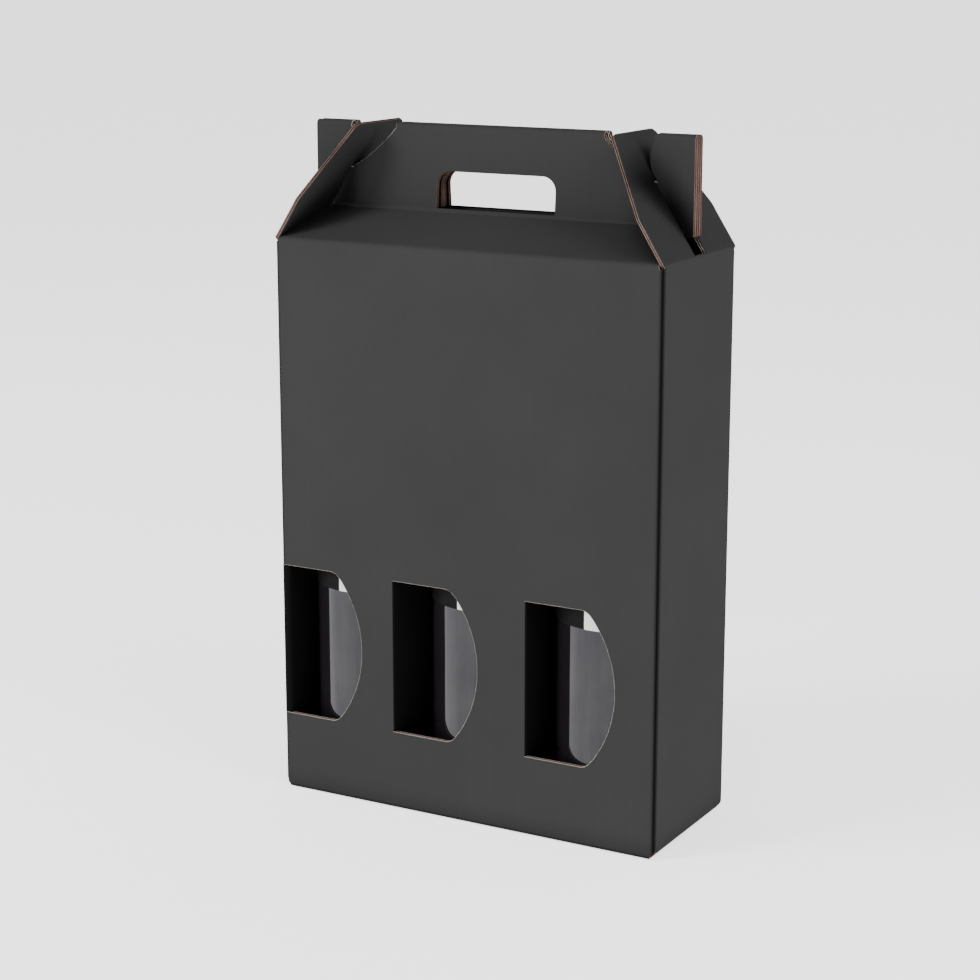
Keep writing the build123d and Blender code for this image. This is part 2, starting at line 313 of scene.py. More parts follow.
class Board:
    """Gathers the sheets of the blank in one mesh, with its liners and fluted cut edges."""

    def __init__(self):
        self.mesh = bmesh.new()
        self.across = self.mesh.loops.layers.float.new("across")
        # Painted shade per corner, which the materials blend towards near black
        self.shade = self.mesh.loops.layers.float.new("shade")

    def face(self, points, acrosses, material, shades):
        """One face, with its place across the flutes and its painted shade at each corner."""
        corners = [self.mesh.verts.new(point * metre) for point in points]
        face = self.mesh.faces.new(corners)
        face.material_index = material
        for loop, across, shade in zip(face.loops, acrosses, shades):
            loop[self.across] = across
            loop[self.shade] = shade

    def sheet(self, loops, place, is_joint, u_cuts, v_cuts, shift=0.0, flutes=True, shade=None,
              dim_rims=False, rim_kind=None, bevel_kind=None, edge_form=clean_edge):
        """One panel: its outline loops in (across, along), and the place of each point at a depth."""
        flat = fill_outline(loops, u_cuts, v_cuts)
        rim = [e for e in flat.edges if len(e.link_faces) == 1]
        rim = [e for e in rim if not is_joint(*((e.verts[0].co + e.verts[1].co) / 2).xy)]
        inward, channels = rim_normals(rim)
        for face in flat.faces:
            spots = [c.co.xy + inward[c] * edge_form[0] if c in inward else c.co.xy for c in face.verts]
            acrosses = [spot.x + shift for spot in spots]
            shades = [shade(*spot) if shade else 0.0 for spot in spots]
            self.face([place(s.x, s.y, 0.0) for s in spots], acrosses, LINER, shades)
            inner = [place(s.x, s.y, board) for s in reversed(spots)]
            self.face(inner, acrosses[::-1], LINER, [0.0] * len(spots))
        for edge in rim:
            loop = edge.link_loops[0]
            ends = (loop.vert, loop.link_loop_next.vert)
            shades = [shade(*e.co.xy) if dim_rims else 0.0 for e in ends]
            middle = ((ends[0].co + ends[1].co) / 2).xy
            rim_material = rim_kind(*middle) if rim_kind else RIM
            bevel_material = bevel_kind(*middle) if bevel_kind else rim_material
            spots = [(e.co.xy, inward[e], channels[e]) for e in ends]
            self.cut_edge(place, spots, shift, flutes, shades, edge_form, rim_material, bevel_material)
        flat.free()

    def cut_edge(self, place, ends, shift, flutes, shades, edge_form, rim_material, bevel_material):
        """Rims of the two liners with the channel between them, and the medium in it."""
        (a, a_in, a_deep), (b, b_in, b_deep) = ends
        corner_shades = [shades[1], shades[0], shades[0], shades[1]]
        bevel, drop = edge_form
        skin = drop + rim_width
        section = [
            (0.0, bevel, 0.0, bevel_material),
            (drop, 0.0, 0.0, rim_material),
            (skin, 0.0, 0.0, KRAFT),
            (skin, 0.0, 1.0, KRAFT),
            (board - skin, 0.0, 1.0, KRAFT),
            (board - skin, 0.0, 0.0, rim_material),
            (board - drop, 0.0, 0.0, bevel_material),
            (board, bevel, 0.0, bevel_material),
        ]

        def spot(point, inward, depth, inset):
            return place(point.x + inward.x * inset, point.y + inward.y * inset, depth)

        for (d0, i0, k0, material), (d1, i1, k1, _) in zip(section, section[1:]):
            points = [
                spot(b, b_in, d0, i0 + k0 * b_deep),
                spot(a, a_in, d0, i0 + k0 * a_deep),
                spot(a, a_in, d1, i1 + k1 * a_deep),
                spot(b, b_in, d1, i1 + k1 * b_deep),
            ]
            acrosses = [b.x + shift, a.x + shift, a.x + shift, b.x + shift]
            self.face(points, acrosses, material, corner_shades)
        if not flutes:
            return
        run = b - a
        steps = max(1, ceil(abs(run.x) / (flute_pitch / flute_steps)))
        swing = board / 2 - skin - medium / 2
        rows = []
        for k in range(steps + 1):
            share = k / steps
            point = a.lerp(b, share)
            inward = a_in.lerp(b_in, share)
            phase = 2 * pi * (point.x + shift) / flute_pitch
            middle = board / 2 + swing * sin(phase)
            slope = swing * cos(phase) * 2 * pi / flute_pitch * run.x / max(run.length, tiny)
            half = medium / 2 * min(steepest_flute, sqrt(1 + slope * slope))
            low = max(skin, middle - half)
            high = min(board - skin, middle + half)
            deep = a_deep + (b_deep - a_deep) * share
            shallow = min(medium_recess, deep / 2)
            spots = [(low, deep), (low, shallow), (high, shallow), (high, deep)]
            rows.append(([spot(point, inward, depth, inset) for depth, inset in spots], point.x + shift))
        for (first, across_first), (last, across_last) in zip(rows, rows[1:]):
            for j in range(3):
                points = [last[j], first[j], first[j + 1], last[j + 1]]
                acrosses = [across_last, across_first, across_first, across_last]
                self.face(points, acrosses, KRAFT, corner_shades)

    def finish(self, name, materials):
        """The carton's object, with its sheets joined where they meet."""
        bmesh.ops.remove_doubles(self.mesh, verts=self.mesh.verts, dist=weld * metre)
        return finish_mesh(name, self.mesh, materials)


def fill_outline(loops, u_cuts, v_cuts):
    """Flat mesh of an outline with holes, cut into a grid that can be bent."""
    flat = bmesh.new()
    for loop in loops:
        corners = [flat.verts.new((u, v, 0.0)) for u, v in loop]
        for a, b in zip(corners, corners[1:] + corners[:1]):
            flat.edges.new((a, b))
    bmesh.ops.triangle_fill(flat, use_beauty=True, use_dissolve=False, edges=flat.edges)
    for axis, cuts in ((Vector((1, 0, 0)), u_cuts), (Vector((0, 1, 0)), v_cuts)):
        for cut in cuts:
            everything = flat.verts[:] + flat.edges[:] + flat.faces[:]
            bmesh.ops.bisect_plane(flat, geom=everything, dist=near, plane_co=axis * cut, plane_no=axis)
    for face in flat.faces:
        face.normal_update()
        if face.normal.z < 0:
            face.normal_flip()
    return flat


def rim_normals(rim):
    """Mitred inward direction, and depth of the channel, at each end of the cut edges."""
    found = {}
    for edge in rim:
        loop = edge.link_loops[0]
        run = (loop.link_loop_next.vert.co - loop.vert.co).normalized()
        channel = along_channel + (across_channel - along_channel) * abs(run.x)
        for vert in edge.verts:
            found.setdefault(vert, []).append((Vector((-run.y, run.x)), channel))
    normals = {}
    channels = {}
    for vert, pairs in found.items():
        total = sum((normal for normal, _ in pairs), Vector((0.0, 0.0)))
        spread = 1 + pairs[0][0].dot(pairs[-1][0]) if len(pairs) == 2 else 1
        normals[vert] = total / max(sharpest_mitre, spread)
        channels[vert] = sum(channel for _, channel in pairs) / len(pairs)
    return normals, channels


def even_cuts(start, end, step):
    """Places of evenly spread cuts between two ends."""
    count = max(1, round((end - start) / step))
    return [start + (end - start) * k / count for k in range(1, count)]


def fold_left(fold_x, turn):
    """Where a window's flap leaves the front panel."""
    return fold_x - flap_fold_radius * tan(radians(turn) / 2)


def window_loop(left, fold):
    """D outline in (x, z), from the left edge to the round end."""
    half_height = window_height / 2
    centre_z = window_sill + half_height
    arc_x = fold + window_reach - window_arc_radius
    shoulder = arc_x + sqrt(window_arc_radius**2 - half_height**2)
    tip = fold + window_reach
    low = (shoulder, centre_z - half_height)
    high = (shoulder, centre_z + half_height)
    arc = arc_points(low, (tip, centre_z), high, window_arc_steps)
    lead_low = arc[window_arc_lead]
    lead_high = arc[-1 - window_arc_lead]
    rounded_low = round_corner((left, low[1]), low, lead_low, window_corner_radius, corner_steps)
    rounded_high = round_corner(lead_high, high, (left, high[1]), window_corner_radius, corner_steps)
    keep_low = rounded_low[-1][1] + window_corner_clear
    keep_high = rounded_high[0][1] - window_corner_clear
    keep = [point for point in arc if keep_low < point[1] < keep_high]
    return [(left, low[1])] + rounded_low + keep + rounded_high + [(left, high[1])]


# The sleeve, followed from the glued corner along the left wall, the front, the right and the back
wall_run = 2 * half_depth - 2 * fold_radius
front_run = 2 * half_width - 2 * fold_radius
corner_run = pi / 2 * fold_radius
runs = [wall_run, corner_run, front_run, corner_run, wall_run, corner_run, front_run, corner_run]
starts = [sum(runs[:i]) for i in range(len(runs) + 1)]
side_middles = {LEFT: starts[0] + wall_run / 2, FRONT: starts[2] + front_run / 2,
                RIGHT: starts[4] + wall_run / 2, BACK: starts[6] + front_run / 2}
sleeve_sides = [LEFT, FRONT, RIGHT, BACK]
sleeve_top = box_height - wall_lap
front_foot = fold_radius
side_foot = board + fold_radius
grid_heights = even_cuts(0.0, sleeve_top, wall_grid_step)
middle_fold_left = fold_left(middle_fold_x, middle_flap_turn)
right_fold_left = fold_left(right_fold_x, right_flap_turn)


def sleeve_place(u, v, depth):
    """Point of the sleeve at a length round it, a height and a depth."""
    piece = max(i for i in range(len(runs)) if u >= starts[i] - tiny)
    side = sleeve_sides[piece // 2]
    if piece % 2 == 0:
        return on_side(side, u - side_middles[side], depth, v)
    run = wall_run if side in (LEFT, RIGHT) else front_run
    angle = (u - starts[piece]) / fold_radius
    groove = groove_depth * exp(-(((angle - pi / 4) / radians(groove_spread)) ** 2))
    reach = fold_radius - depth - groove * (1 - depth / board)
    return on_side(side, run / 2 + reach * sin(angle), fold_radius - reach * cos(angle), v)


def sleeve_shade(u, v):
    """Painted shade along the score groove of the nearest upright fold."""
    middles = [starts[piece] + corner_run / 2 for piece in (1, 3, 5, 7)]
    away = min(abs(u - middle) for middle in middles)
    return exp(-((away / groove_shade_width) ** 2))


def build_sleeve(carton):
    """Four walls with the windows cut out, open to the panels above and below."""
    end = starts[-1]
    low = []
    high = []
    for piece in range(len(runs)):
        side = sleeve_sides[piece // 2]
        foot = front_foot if side in (FRONT, BACK) else side_foot
        if piece % 2 == 0:
            low += [(starts[piece], foot), (starts[piece + 1], foot)]
        high.append((starts[piece], sleeve_top))
    outline = low + [(end, low[0][1]), (end, sleeve_top)] + high[::-1]
    shift = side_middles[FRONT]
    corner_u = starts[1]
    windows = [
        [(corner_u if x < -half_width + board + near else x + shift, z)
         for x, z in window_loop(-half_width + board, -half_width)],
        [(x + shift, z) for x, z in window_loop(middle_fold_left, middle_fold_x)],
        [(x + shift, z) for x, z in window_loop(right_fold_left, right_fold_x)],
    ]
    window_edges = [corner_u, middle_fold_left + shift, right_fold_left + shift]

    def is_joint(u, v):
        on_wall = any(starts[p] < u < starts[p + 1] for p in (0, 2, 4, 6))
        if u < near or u > end - near:
            return True
        if v > sleeve_top - near or (v < side_foot + near and on_wall):
            return on_wall
        inside = window_sill + near < v < window_sill + window_height - near
        return inside and any(abs(u - edge) < near for edge in window_edges)

    u_cuts = []
    for piece in range(len(runs)):
        if piece % 2 == 0:
            first = starts[piece] + fold_margin
            last = starts[piece + 1] - fold_margin
            u_cuts += [starts[piece], first] + even_cuts(first, last, grid_step) + [last, starts[piece + 1]]
        else:
            u_cuts += even_cuts(starts[piece], starts[piece + 1], corner_run / upright_fold_steps)

    # Window rims get the lit cream, partly painted highlight where their cut edges catch the light; other
    # rims get the darker core kraft
    def rim_kind(u, v):
        from_middle = abs(v - window_sill - window_height / 2)
        return LIT_CREAM if from_middle < window_height / 2 + window_rim_margin else KRAFT

    carton.sheet([outline] + windows, sleeve_place, is_joint, u_cuts, grid_heights, shade=sleeve_shade,
                 rim_kind=rim_kind)


def build_window_flap(carton, bend, fold_length, start_u):
    """A window's flap, turned in about its left edge."""
    lift = window_sill + window_height / 2
    squeeze = 1 - 2 * flap_trim / window_height
    outline = [(fold_length + x, lift + (z - lift) * squeeze) for x, z in window_loop(0.0, -flap_trim)]
    bend_end = bend.breaks[-1]
    low = (bend_end, outline[0][1])
    high = (bend_end, outline[-1][1])
    top = window_sill + window_height
    loop = [(0.0, window_sill), low] + outline[1:-1] + [high, (0.0, top)]

    def place(u, v, depth):
        spot = bend.at(u, depth)
        return Vector((spot.x, spot.y, v))

    v_cuts = [z for z in grid_heights if window_sill < z < top]
    u_cuts = bend.breaks + even_cuts(bend_end, bend.length, wall_grid_step)
    # The flap and its cut edges take the painted shade of flap_shade
    carton.sheet([loop], place, lambda u, v: u < near, u_cuts, v_cuts, start_u,
                 shade=flap_shade, dim_rims=True)


def flap_shade(u, v):
    """Painted shade on the flaps, full from just past the fold, as they stand in the dark between the
    bottles.
    """
    return min(1.0, max(0.0, u / flap_shade_start))


def build_window_flaps(carton):
    """The three flaps: the left one turned right back on the wall, the others between bottles."""
    front = -half_depth
    for fold_x, left, turn in ((middle_fold_x, middle_fold_left, middle_flap_turn),
                               (right_fold_x, right_fold_left, right_flap_turn)):
        tip = (fold_x + window_reach * cos(radians(turn)), front + window_reach * sin(radians(turn)))
        bend = Bend([(left, front), (fold_x, front), tip], [flap_fold_radius], side=-1)
        arc_run = flap_fold_radius * radians(turn)
        build_window_flap(carton, bend, arc_run - (fold_x - left), left + side_middles[FRONT])
    outer = -half_width
    inner = outer + 2 * fold_radius
    points = [(outer, front + fold_radius), (outer, front), (inner, front), (inner, front + window_reach)]
    bend = Bend(points, [fold_radius, fold_radius], side=-1)
    build_window_flap(carton, bend, pi * fold_radius - fold_radius, starts[1])


# Profiles of the panels above the walls, as (inward, height) from a wall's outer face
crease_in = half_depth - handle_half_spread
crease_z = box_height + roof_rise
handle_foot_z = box_height + hook_drop
handle_top_z = box_height + handle_height
joint_z = crease_z + joint_rise


def handle_half(x, z):
    """Half the handle's outer spread at a place along it and a height."""
    share = min(1.0, max(0.0, (pinch_x - abs(x)) / (pinch_x - spread_x)))
    share = share * share * (3 - 2 * share)
    open_share = (handle_top_z - z) / (handle_top_z - handle_foot_z)
    return handle_half_end + (handle_half_spread - handle_half_end) * share * open_share


def flap_inner(height):
    """X of the right side flap's inner face at a height over the box."""
    return half_width - height * lean_tan - board / lean_cos


def build_roof(carton, side):
    """Sloped roof panel from the wall's top fold to the crease under the handle."""
    joint_in = half_depth - handle_half(0.0, joint_z)
    points = [(0.0, sleeve_top), (0.0, box_height), (crease_in, crease_z), (joint_in, joint_z)]
    bend = Bend(points, [fold_radius, crease_radius])
    roof_start = bend.breaks[bend_steps]
    roof_end = bend.breaks[bend_steps + 1]

    def place(u, v, depth):
        spot = bend.at(v, depth)
        pull = handle_half(0.0, joint_z) - handle_half(u, joint_z)
        share = min(1.0, max(0.0, (v - roof_start) / (roof_end - roof_start)))
        return on_side(side, u, spot.x + pull * share, spot.y)

    wide = half_width - fold_radius
    low_x = flap_inner(0.0) - roof_end_play
    high_x = flap_inner(roof_rise) - roof_end_play
    right = [(wide, 0.0), (low_x, roof_start), (high_x, roof_end), (high_x, bend.length)]
    outline = right + [(-x, v) for x, v in reversed(right)]
    u_cuts = even_cuts(-wide, wide, grid_step) + [-wide + fold_margin, wide - fold_margin]
    v_cuts = bend.breaks + even_cuts(roof_start, roof_end, panel_grid_step)
    v_cuts += [roof_start + crease_margin, roof_end - crease_margin]
    carton.sheet([outline], place, lambda u, v: v < near or v > bend.length - near, u_cuts, v_cuts,
                 side_middles[side])


def notch_sides():
    """Right end notch of the handle in (x, z): its inner and its outer side, from the floor up."""
    floor = handle_height - notch_depth
    inner_middle = floor + notch_depth * inner_middle_share
    outer_middle = floor + notch_depth * outer_middle_share

    def inside(height, room):
        return (flap_inner(height) - room, box_height + height)

    def outside(height, room):
        return (half_width - height * lean_tan + room, box_height + height)

    inner = arc_points(inside(floor, lock_play), inside(inner_middle, middle_inner_room),
                       inside(handle_height, mouth_inner_room), notch_steps)
    outer = arc_points(outside(floor, 2 * lock_play), outside(outer_middle, middle_outer_room),
                       outside(handle_height, mouth_outer_room), notch_steps)
    return inner, outer


def build_handle(carton, side):
    """Doubled handle panel: up the outside, over the top fold and down again inside."""
    rise = handle_top_z - board - handle_foot_z
    turn_run = pi * board
    total = 2 * rise + turn_run

    def place(u, v, depth):
        if v <= rise:
            z = handle_foot_z + v
            inward = half_depth - handle_half(u, z) + depth
        elif v >= rise + turn_run:
            z = handle_foot_z + total - v
            inward = half_depth - handle_half_end + 2 * board - depth
        else:
            angle = (v - rise) / board
            z = handle_top_z - board + (board - depth) * sin(angle)
            half = handle_half(u, handle_top_z - board)
            half += (handle_half_end - half) * (1 - cos(angle)) / 2
            inward = half_depth - half + board - (board - depth) * cos(angle)
        return on_side(side, u, inward, z)

    def unfold(points):
        """An outline in (x, z) on the outer layer, as (across, along)."""
        return [(x, min(z, handle_top_z - board) - handle_foot_z) for x, z in points]

    step_x = flap_inner(roof_rise) - roof_end_play
    joint_v = joint_z - handle_foot_z
    end_x = handle_half_length
    low = [(-end_x, 0.0), (-step_x, 0.0), (-step_x, joint_v), (step_x, joint_v), (step_x, 0.0), (end_x, 0.0)]
    inner, outer = notch_sides()
    inner = unfold([p for p in inner if p[1] < handle_top_z - board])
    outer = unfold([p for p in outer if p[1] < handle_top_z - board])
    notch = outer + [(x, total - v) for x, v in reversed(outer)]
    notch += [(x, total - v) for x, v in inner] + inner[::-1]
    other_notch = [(-x, v) for x, v in reversed(notch)]
    half_grip = grip_length / 2
    grip_top = crease_z + grip_height - handle_foot_z
    right = round_corner((half_grip, joint_v), (half_grip, grip_top), (0.0, grip_top),
                         grip_corner_radius, grip_corner_steps)
    grip = [(half_grip, joint_v)] + right
    grip += [(-x, v) for x, v in reversed(right)] + [(-half_grip, joint_v)]
    low_grip = low[:3] + grip[::-1] + low[3:]
    outline = low_grip + [(x, total - v) for x, v in reversed(low_grip)]

    def is_joint(u, v):
        on_joint = abs(v - joint_v) < near and abs(u) < step_x
        return on_joint and not abs(u) < half_grip

    notch_start = min(x for x, v in notch) - rim_margin
    notch_end = max(x for x, v in notch) + rim_margin

    def rim_kind(u, v):
        return LIT_CREAM if notch_start < abs(u) < notch_end else RIM

    # Painted highlight: the bevel of one notch only is lit cream, where its cut edge catches the light
    def bevel_kind(u, v):
        return LIT_CREAM if notch_start < -u < notch_end else LINER

    def hook_painted_shadow(u, v):
        """Painted shadow, a dark pocket on the hook beside the flap that it holds."""
        height = v + hook_drop
        if v > rise or abs(u) < flap_inner(height):
            return 0.0
        away = max(0.0, abs(u) - half_width + height * lean_tan) / hook_pocket
        fade = min(1.0, max(0.0, hook_pocket_fade * (1 - height / hook_pocket_top)))
        return fade * exp(-(away**2))

    u_cuts = even_cuts(-spread_x, spread_x, grid_step)
    for sense in (-1, 1):
        end_cuts = even_cuts(spread_x, end_x, hook_grid_step) + [spread_x, pinch_x, step_x]
        u_cuts += [sense * x for x in end_cuts]
    v_cuts = even_cuts(0.0, rise, handle_grid_step)
    v_cuts += [rise + turn_run * k / top_fold_steps for k in range(top_fold_steps + 1)]
    v_cuts += even_cuts(rise + turn_run, total, panel_grid_step)
    carton.sheet([outline, notch, other_notch], place, is_joint, u_cuts, v_cuts, side_middles[side],
                 shade=hook_painted_shadow, rim_kind=rim_kind, bevel_kind=bevel_kind)


def build_side_flap(carton, side):
    """Slotted flap that leans in from a side wall and locks over the handle's end."""
    top = (side_flap_length * lean_sin, box_height + side_flap_length * lean_cos)
    bend = Bend([(0.0, sleeve_top), (0.0, box_height), top], [fold_radius])
    base = bend.length - side_flap_length

    def place(u, v, depth):
        spot = bend.at(v, depth)
        return on_side(side, u, spot.x, spot.y)

    foot = half_depth - fold_radius
    knee = half_depth - side_flap_knee_taper
    top_half = side_flap_top_width / 2
    corner = round_corner((knee, base + side_flap_knee), (top_half, bend.length), (0.0, bend.length),
                          side_flap_corner_radius, corner_steps)
    right = [(foot, 0.0), (half_depth - side_flap_foot_play, base), (knee, base + side_flap_knee)] + corner
    outline = right + [(-u, v) for u, v in reversed(right)]
    notch_floor = handle_height - notch_depth
    slot_end = base + (notch_floor + lock_play + board * lean_sin) / lean_cos
    slot_low = base + slot_start
    slot = [(-slot_half_width, slot_low), (slot_half_width, slot_low),
            (slot_half_width, slot_end), (-slot_half_width, slot_end)]

    # The slot's rims get the lit cream, partly painted highlight
    def rim_kind(u, v):
        return LIT_CREAM if abs(u) < slot_half_width + rim_margin and v < slot_end + rim_margin else RIM

    def hook_painted_shadow(u, v):
        """Painted shadow, a dark pocket beside the handle's end, widest where the flap enters its notch."""
        rise = min(1.0, max(0.0, (v - slot_low) / (slot_end - slot_low)))
        fade = min(1.0, max(0.0, 1 - (v - slot_end) / pocket_fade))
        reach = pocket_start + pocket_growth * rise**pocket_growth_power
        away = max(0.0, abs(u) - handle_half_end) / reach
        return fade * rise**pocket_rise_power * exp(-(away**pocket_edge_power))

    u_cuts = even_cuts(-half_depth, half_depth, side_flap_grid_across)
    grid_start = base + side_flap_grid_start
    v_cuts = bend.breaks + even_cuts(grid_start, bend.length, side_flap_grid_along) + [grid_start]
    # The painted hook shadow darkens the flap and its slot's cut edges
    carton.sheet([outline, slot], place, lambda u, v: v < near, u_cuts, v_cuts, side_middles[side],
                 shade=hook_painted_shadow, dim_rims=True, rim_kind=rim_kind, bevel_kind=lambda u, v: LINER,
                 edge_form=crushed_edge)


def seam_y(x):
    """Where the two outer bottom panels meet."""
    share = min(1.0, max(-1.0, x / (seam_run / 2)))
    return -seam_offset * share


def build_bottom(carton, side):
    """Outer bottom panel from the front or back wall to the hooked seam."""
    bend = Bend([(0.0, front_foot), (0.0, 0.0), (2 * half_depth, 0.0)], [fold_radius], side=-1)
    sense = 1 if side == FRONT else -1

    def place(u, v, depth):
        spot = bend.at(v, depth)
        return on_side(side, -u, spot.x, spot.y)

    wide = half_width - fold_radius
    narrow = half_width - bottom_end_play - fold_radius
    fold_run = bend.breaks[-1]
    panel = fold_run - fold_radius

    def seam_v(x):
        return panel + half_depth + sense * seam_y(sense * x) - seam_gap / 2

    turn = seam_run / 2
    edge = [(u, seam_v(-u)) for u in (narrow, turn, -turn, -narrow)]
    outline = [(-wide, 0.0), (wide, 0.0), (narrow, fold_run)] + edge + [(-narrow, fold_run)]
    carton.sheet([outline], place, lambda u, v: v < near, even_cuts(-wide, wide, grid_step),
                 bend.breaks + even_cuts(fold_run, panel + half_depth, grid_step), side_middles[side])


def build_side_bottom(carton, side):
    """Inner bottom flap of a side wall, lying on the outer panels."""
    bend = Bend([(0.0, side_foot), (0.0, board), (side_bottom_reach, board)], [fold_radius], side=-1)

    def place(u, v, depth):
        spot = bend.at(v, depth)
        return on_side(side, -u, spot.x, spot.y)

    wide = half_depth - fold_radius
    fold_run = bend.breaks[-1]
    narrow = wide - board
    tip = narrow * side_bottom_taper_share
    outline = [(-wide, 0.0), (wide, 0.0), (narrow, fold_run), (tip, bend.length),
               (-tip, bend.length), (-narrow, fold_run)]
    carton.sheet([outline], place, lambda u, v: v < near, even_cuts(-wide, wide, grid_step), bend.breaks,
                 side_middles[side], flutes=False)


# Materials
def new_material(name):
    """Material with its node tree, its shader and the place on the object."""
    material = bpy.data.materials.new(name)
    material.use_nodes = True
    tree = material.node_tree
    shader = tree.nodes["Principled BSDF"]
    return material, tree, shader, add(tree, "ShaderNodeTexCoord").outputs["Object"]


def add(tree, kind, values=None, **settings):
    """Node with its settings, its input values and its input links."""
    node = tree.nodes.new(kind)
    for key, value in settings.items():
        setattr(node, key, value)
    for key, value in (values or {}).items():
        if isinstance(value, bpy.types.NodeSocket):
            tree.links.new(value, node.inputs[key])
        else:
            node.inputs[key].default_value = value
    return node


def math(tree, operation, a, b=0.0):
    """Output of one sum."""
    return add(tree, "ShaderNodeMath", {0: a, 1: b}, operation=operation).outputs[0]


def blend(tree, share, first, second):
    """Mix of two colours, which are inputs 6 and 7 of the node."""
    node = add(tree, "ShaderNodeMix", data_type="RGBA")
    for socket, value in ((node.inputs[0], share), (node.inputs[6], first), (node.inputs[7], second)):
        if isinstance(value, bpy.types.NodeSocket):
            tree.links.new(value, socket)
        else:
            socket.default_value = value
    return node.outputs[2]


def noise(tree, place, scale, detail=2.0, roughness=0.5):
    """Value of a noise texture."""
    values = {"Vector": place, "Scale": scale, "Detail": detail, "Roughness": roughness}
    return add(tree, "ShaderNodeTexNoise", values).outputs["Fac"]


def remap(tree, value, from_min, from_max, to_min=0.0, to_max=1.0):
    """A value moved from one range to another."""
    values = {"Value": value, "From Min": from_min, "From Max": from_max, "To Min": to_min, "To Max": to_max}
    return add(tree, "ShaderNodeMapRange", values).outputs["Result"]


def emboss(tree, shader, height, strength, distance):
    """Bump of a shader."""
    values = {"Height": height, "Strength": strength, "Distance": distance}
    tree.links.new(add(tree, "ShaderNodeBump", values).outputs["Normal"], shader.inputs["Normal"])


def grey(value):
    """Neutral colour."""
    return (value, value, value, 1.0)


def liner_material():
    """Black printed liner: matt, faintly striped by the flutes, with paper fibre, and painted shade in
    pockets and crevices.
    """
    liner_dark = grey(0.026)
    liner_light = grey(0.031)
    painted_shade_tone = grey(0.002)
    streak_share = 0.07
    fibre_share = 0.35
    shade_share = 0.93
    wave_height = 0.18
    fibre_height = 0.6
    material, tree, shader, place = new_material("black_liner")
    across = add(tree, "ShaderNodeAttribute", attribute_name="across").outputs["Fac"]
    shade = add(tree, "ShaderNodeAttribute", attribute_name="shade").outputs["Fac"]
    wave = math(tree, "SINE", math(tree, "MULTIPLY", across, 2 * pi / flute_pitch))
    fibre = noise(tree, place, scale=900.0, detail=6.0, roughness=0.65)
    cloud = noise(tree, place, scale=14.0, detail=3.0)
    streak = math(tree, "MULTIPLY", math(tree, "MULTIPLY", wave, cloud), streak_share)
    tone = math(tree, "ADD", streak, cloud)
    tone = math(tree, "ADD", tone, math(tree, "MULTIPLY", fibre, fibre_share))
    colour = blend(tree, remap(tree, tone, from_min=0.3, from_max=1.1), liner_dark, liner_light)
    # Painted shade: ambient occlusion and the shade attribute blend the base colour towards near black
    ambient_occlusion = add(tree, "ShaderNodeAmbientOcclusion", {"Distance": 0.03}, samples=6).outputs["AO"]
    painted_pocket_shade = remap(tree, ambient_occlusion, from_min=0.62, from_max=0.35, to_max=0.8)
    depth = math(tree, "MAXIMUM", math(tree, "MULTIPLY", shade, shade_share), painted_pocket_shade)
    tree.links.new(blend(tree, depth, colour, painted_shade_tone), shader.inputs["Base Color"])
    rough = remap(tree, fibre, from_min=0.2, from_max=0.8, to_min=0.60, to_max=0.76)
    tree.links.new(rough, shader.inputs["Roughness"])
    shader.inputs["Specular IOR Level"].default_value = 0.02
    height = math(tree, "ADD", math(tree, "MULTIPLY", wave, wave_height),
                  math(tree, "MULTIPLY", fibre, fibre_height))
    emboss(tree, shader, height, strength=0.3, distance=0.0001)
    return material


def kraft_material(name, dark, light, fibre_scale):
    """Raw board where it is cut, between two tones, darkened by the painted shade attribute."""
    shade_tone = grey(0.003)
    fibre_share = 0.6
    patch_share = 0.5
    material, tree, shader, place = new_material(name)
    fibre = noise(tree, place, fibre_scale, detail=5.0, roughness=0.7)
    patch = noise(tree, place, scale=90.0)
    tone = math(tree, "ADD", math(tree, "MULTIPLY", fibre, fibre_share),
                math(tree, "MULTIPLY", patch, patch_share))
    shade = add(tree, "ShaderNodeAttribute", attribute_name="shade").outputs["Fac"]
    colour = blend(tree, remap(tree, tone, from_min=0.3, from_max=0.8), dark, light)
    # Painted shade from the shade attribute darkens the cut edges
    tree.links.new(blend(tree, shade, colour, shade_tone), shader.inputs["Base Color"])
    shader.inputs["Roughness"].default_value = 0.85
    shader.inputs["Specular IOR Level"].default_value = 0.2
    emboss(tree, shader, fibre, strength=0.5, distance=0.0001)
    return material


def glass_material():
    """Dark bottle glass, full, so that only its polish shows."""
    glass_dark = (0.0055, 0.0046, 0.0058, 1.0)
    glass_light = (0.0095, 0.0078, 0.0095, 1.0)
    tint_dull = (0.66, 0.68, 0.76, 1.0)
    tint_clear = (0.97, 0.98, 1.0, 1.0)
    streak_share = 0.6
    haze_share = 0.4
    material, tree, shader, place = new_material("dark_glass")
    ripple = noise(tree, place, scale=16.0)
    haze = noise(tree, place, scale=60.0, detail=5.0, roughness=0.7)
    tree.links.new(blend(tree, ripple, glass_dark, glass_light), shader.inputs["Base Color"])
    rough = remap(tree, haze, from_min=0.3, from_max=0.75, to_min=0.03, to_max=0.10)
    tree.links.new(rough, shader.inputs["Roughness"])
    shader.inputs["IOR"].default_value = 1.5
    stretch = add(tree, "ShaderNodeMapping", {"Vector": place, "Scale": (1.0, 1.0, 0.12)}).outputs["Vector"]
    streak = noise(tree, stretch, scale=130.0, detail=3.0, roughness=0.6)
    mark = math(tree, "ADD", math(tree, "MULTIPLY", streak, streak_share),
                math(tree, "MULTIPLY", haze, haze_share))
    tint = blend(tree, remap(tree, mark, from_min=0.35, from_max=0.65), tint_dull, tint_clear)
    tree.links.new(tint, shader.inputs["Specular Tint"])
    emboss(tree, shader, ripple, strength=0.22, distance=0.002)
    return material


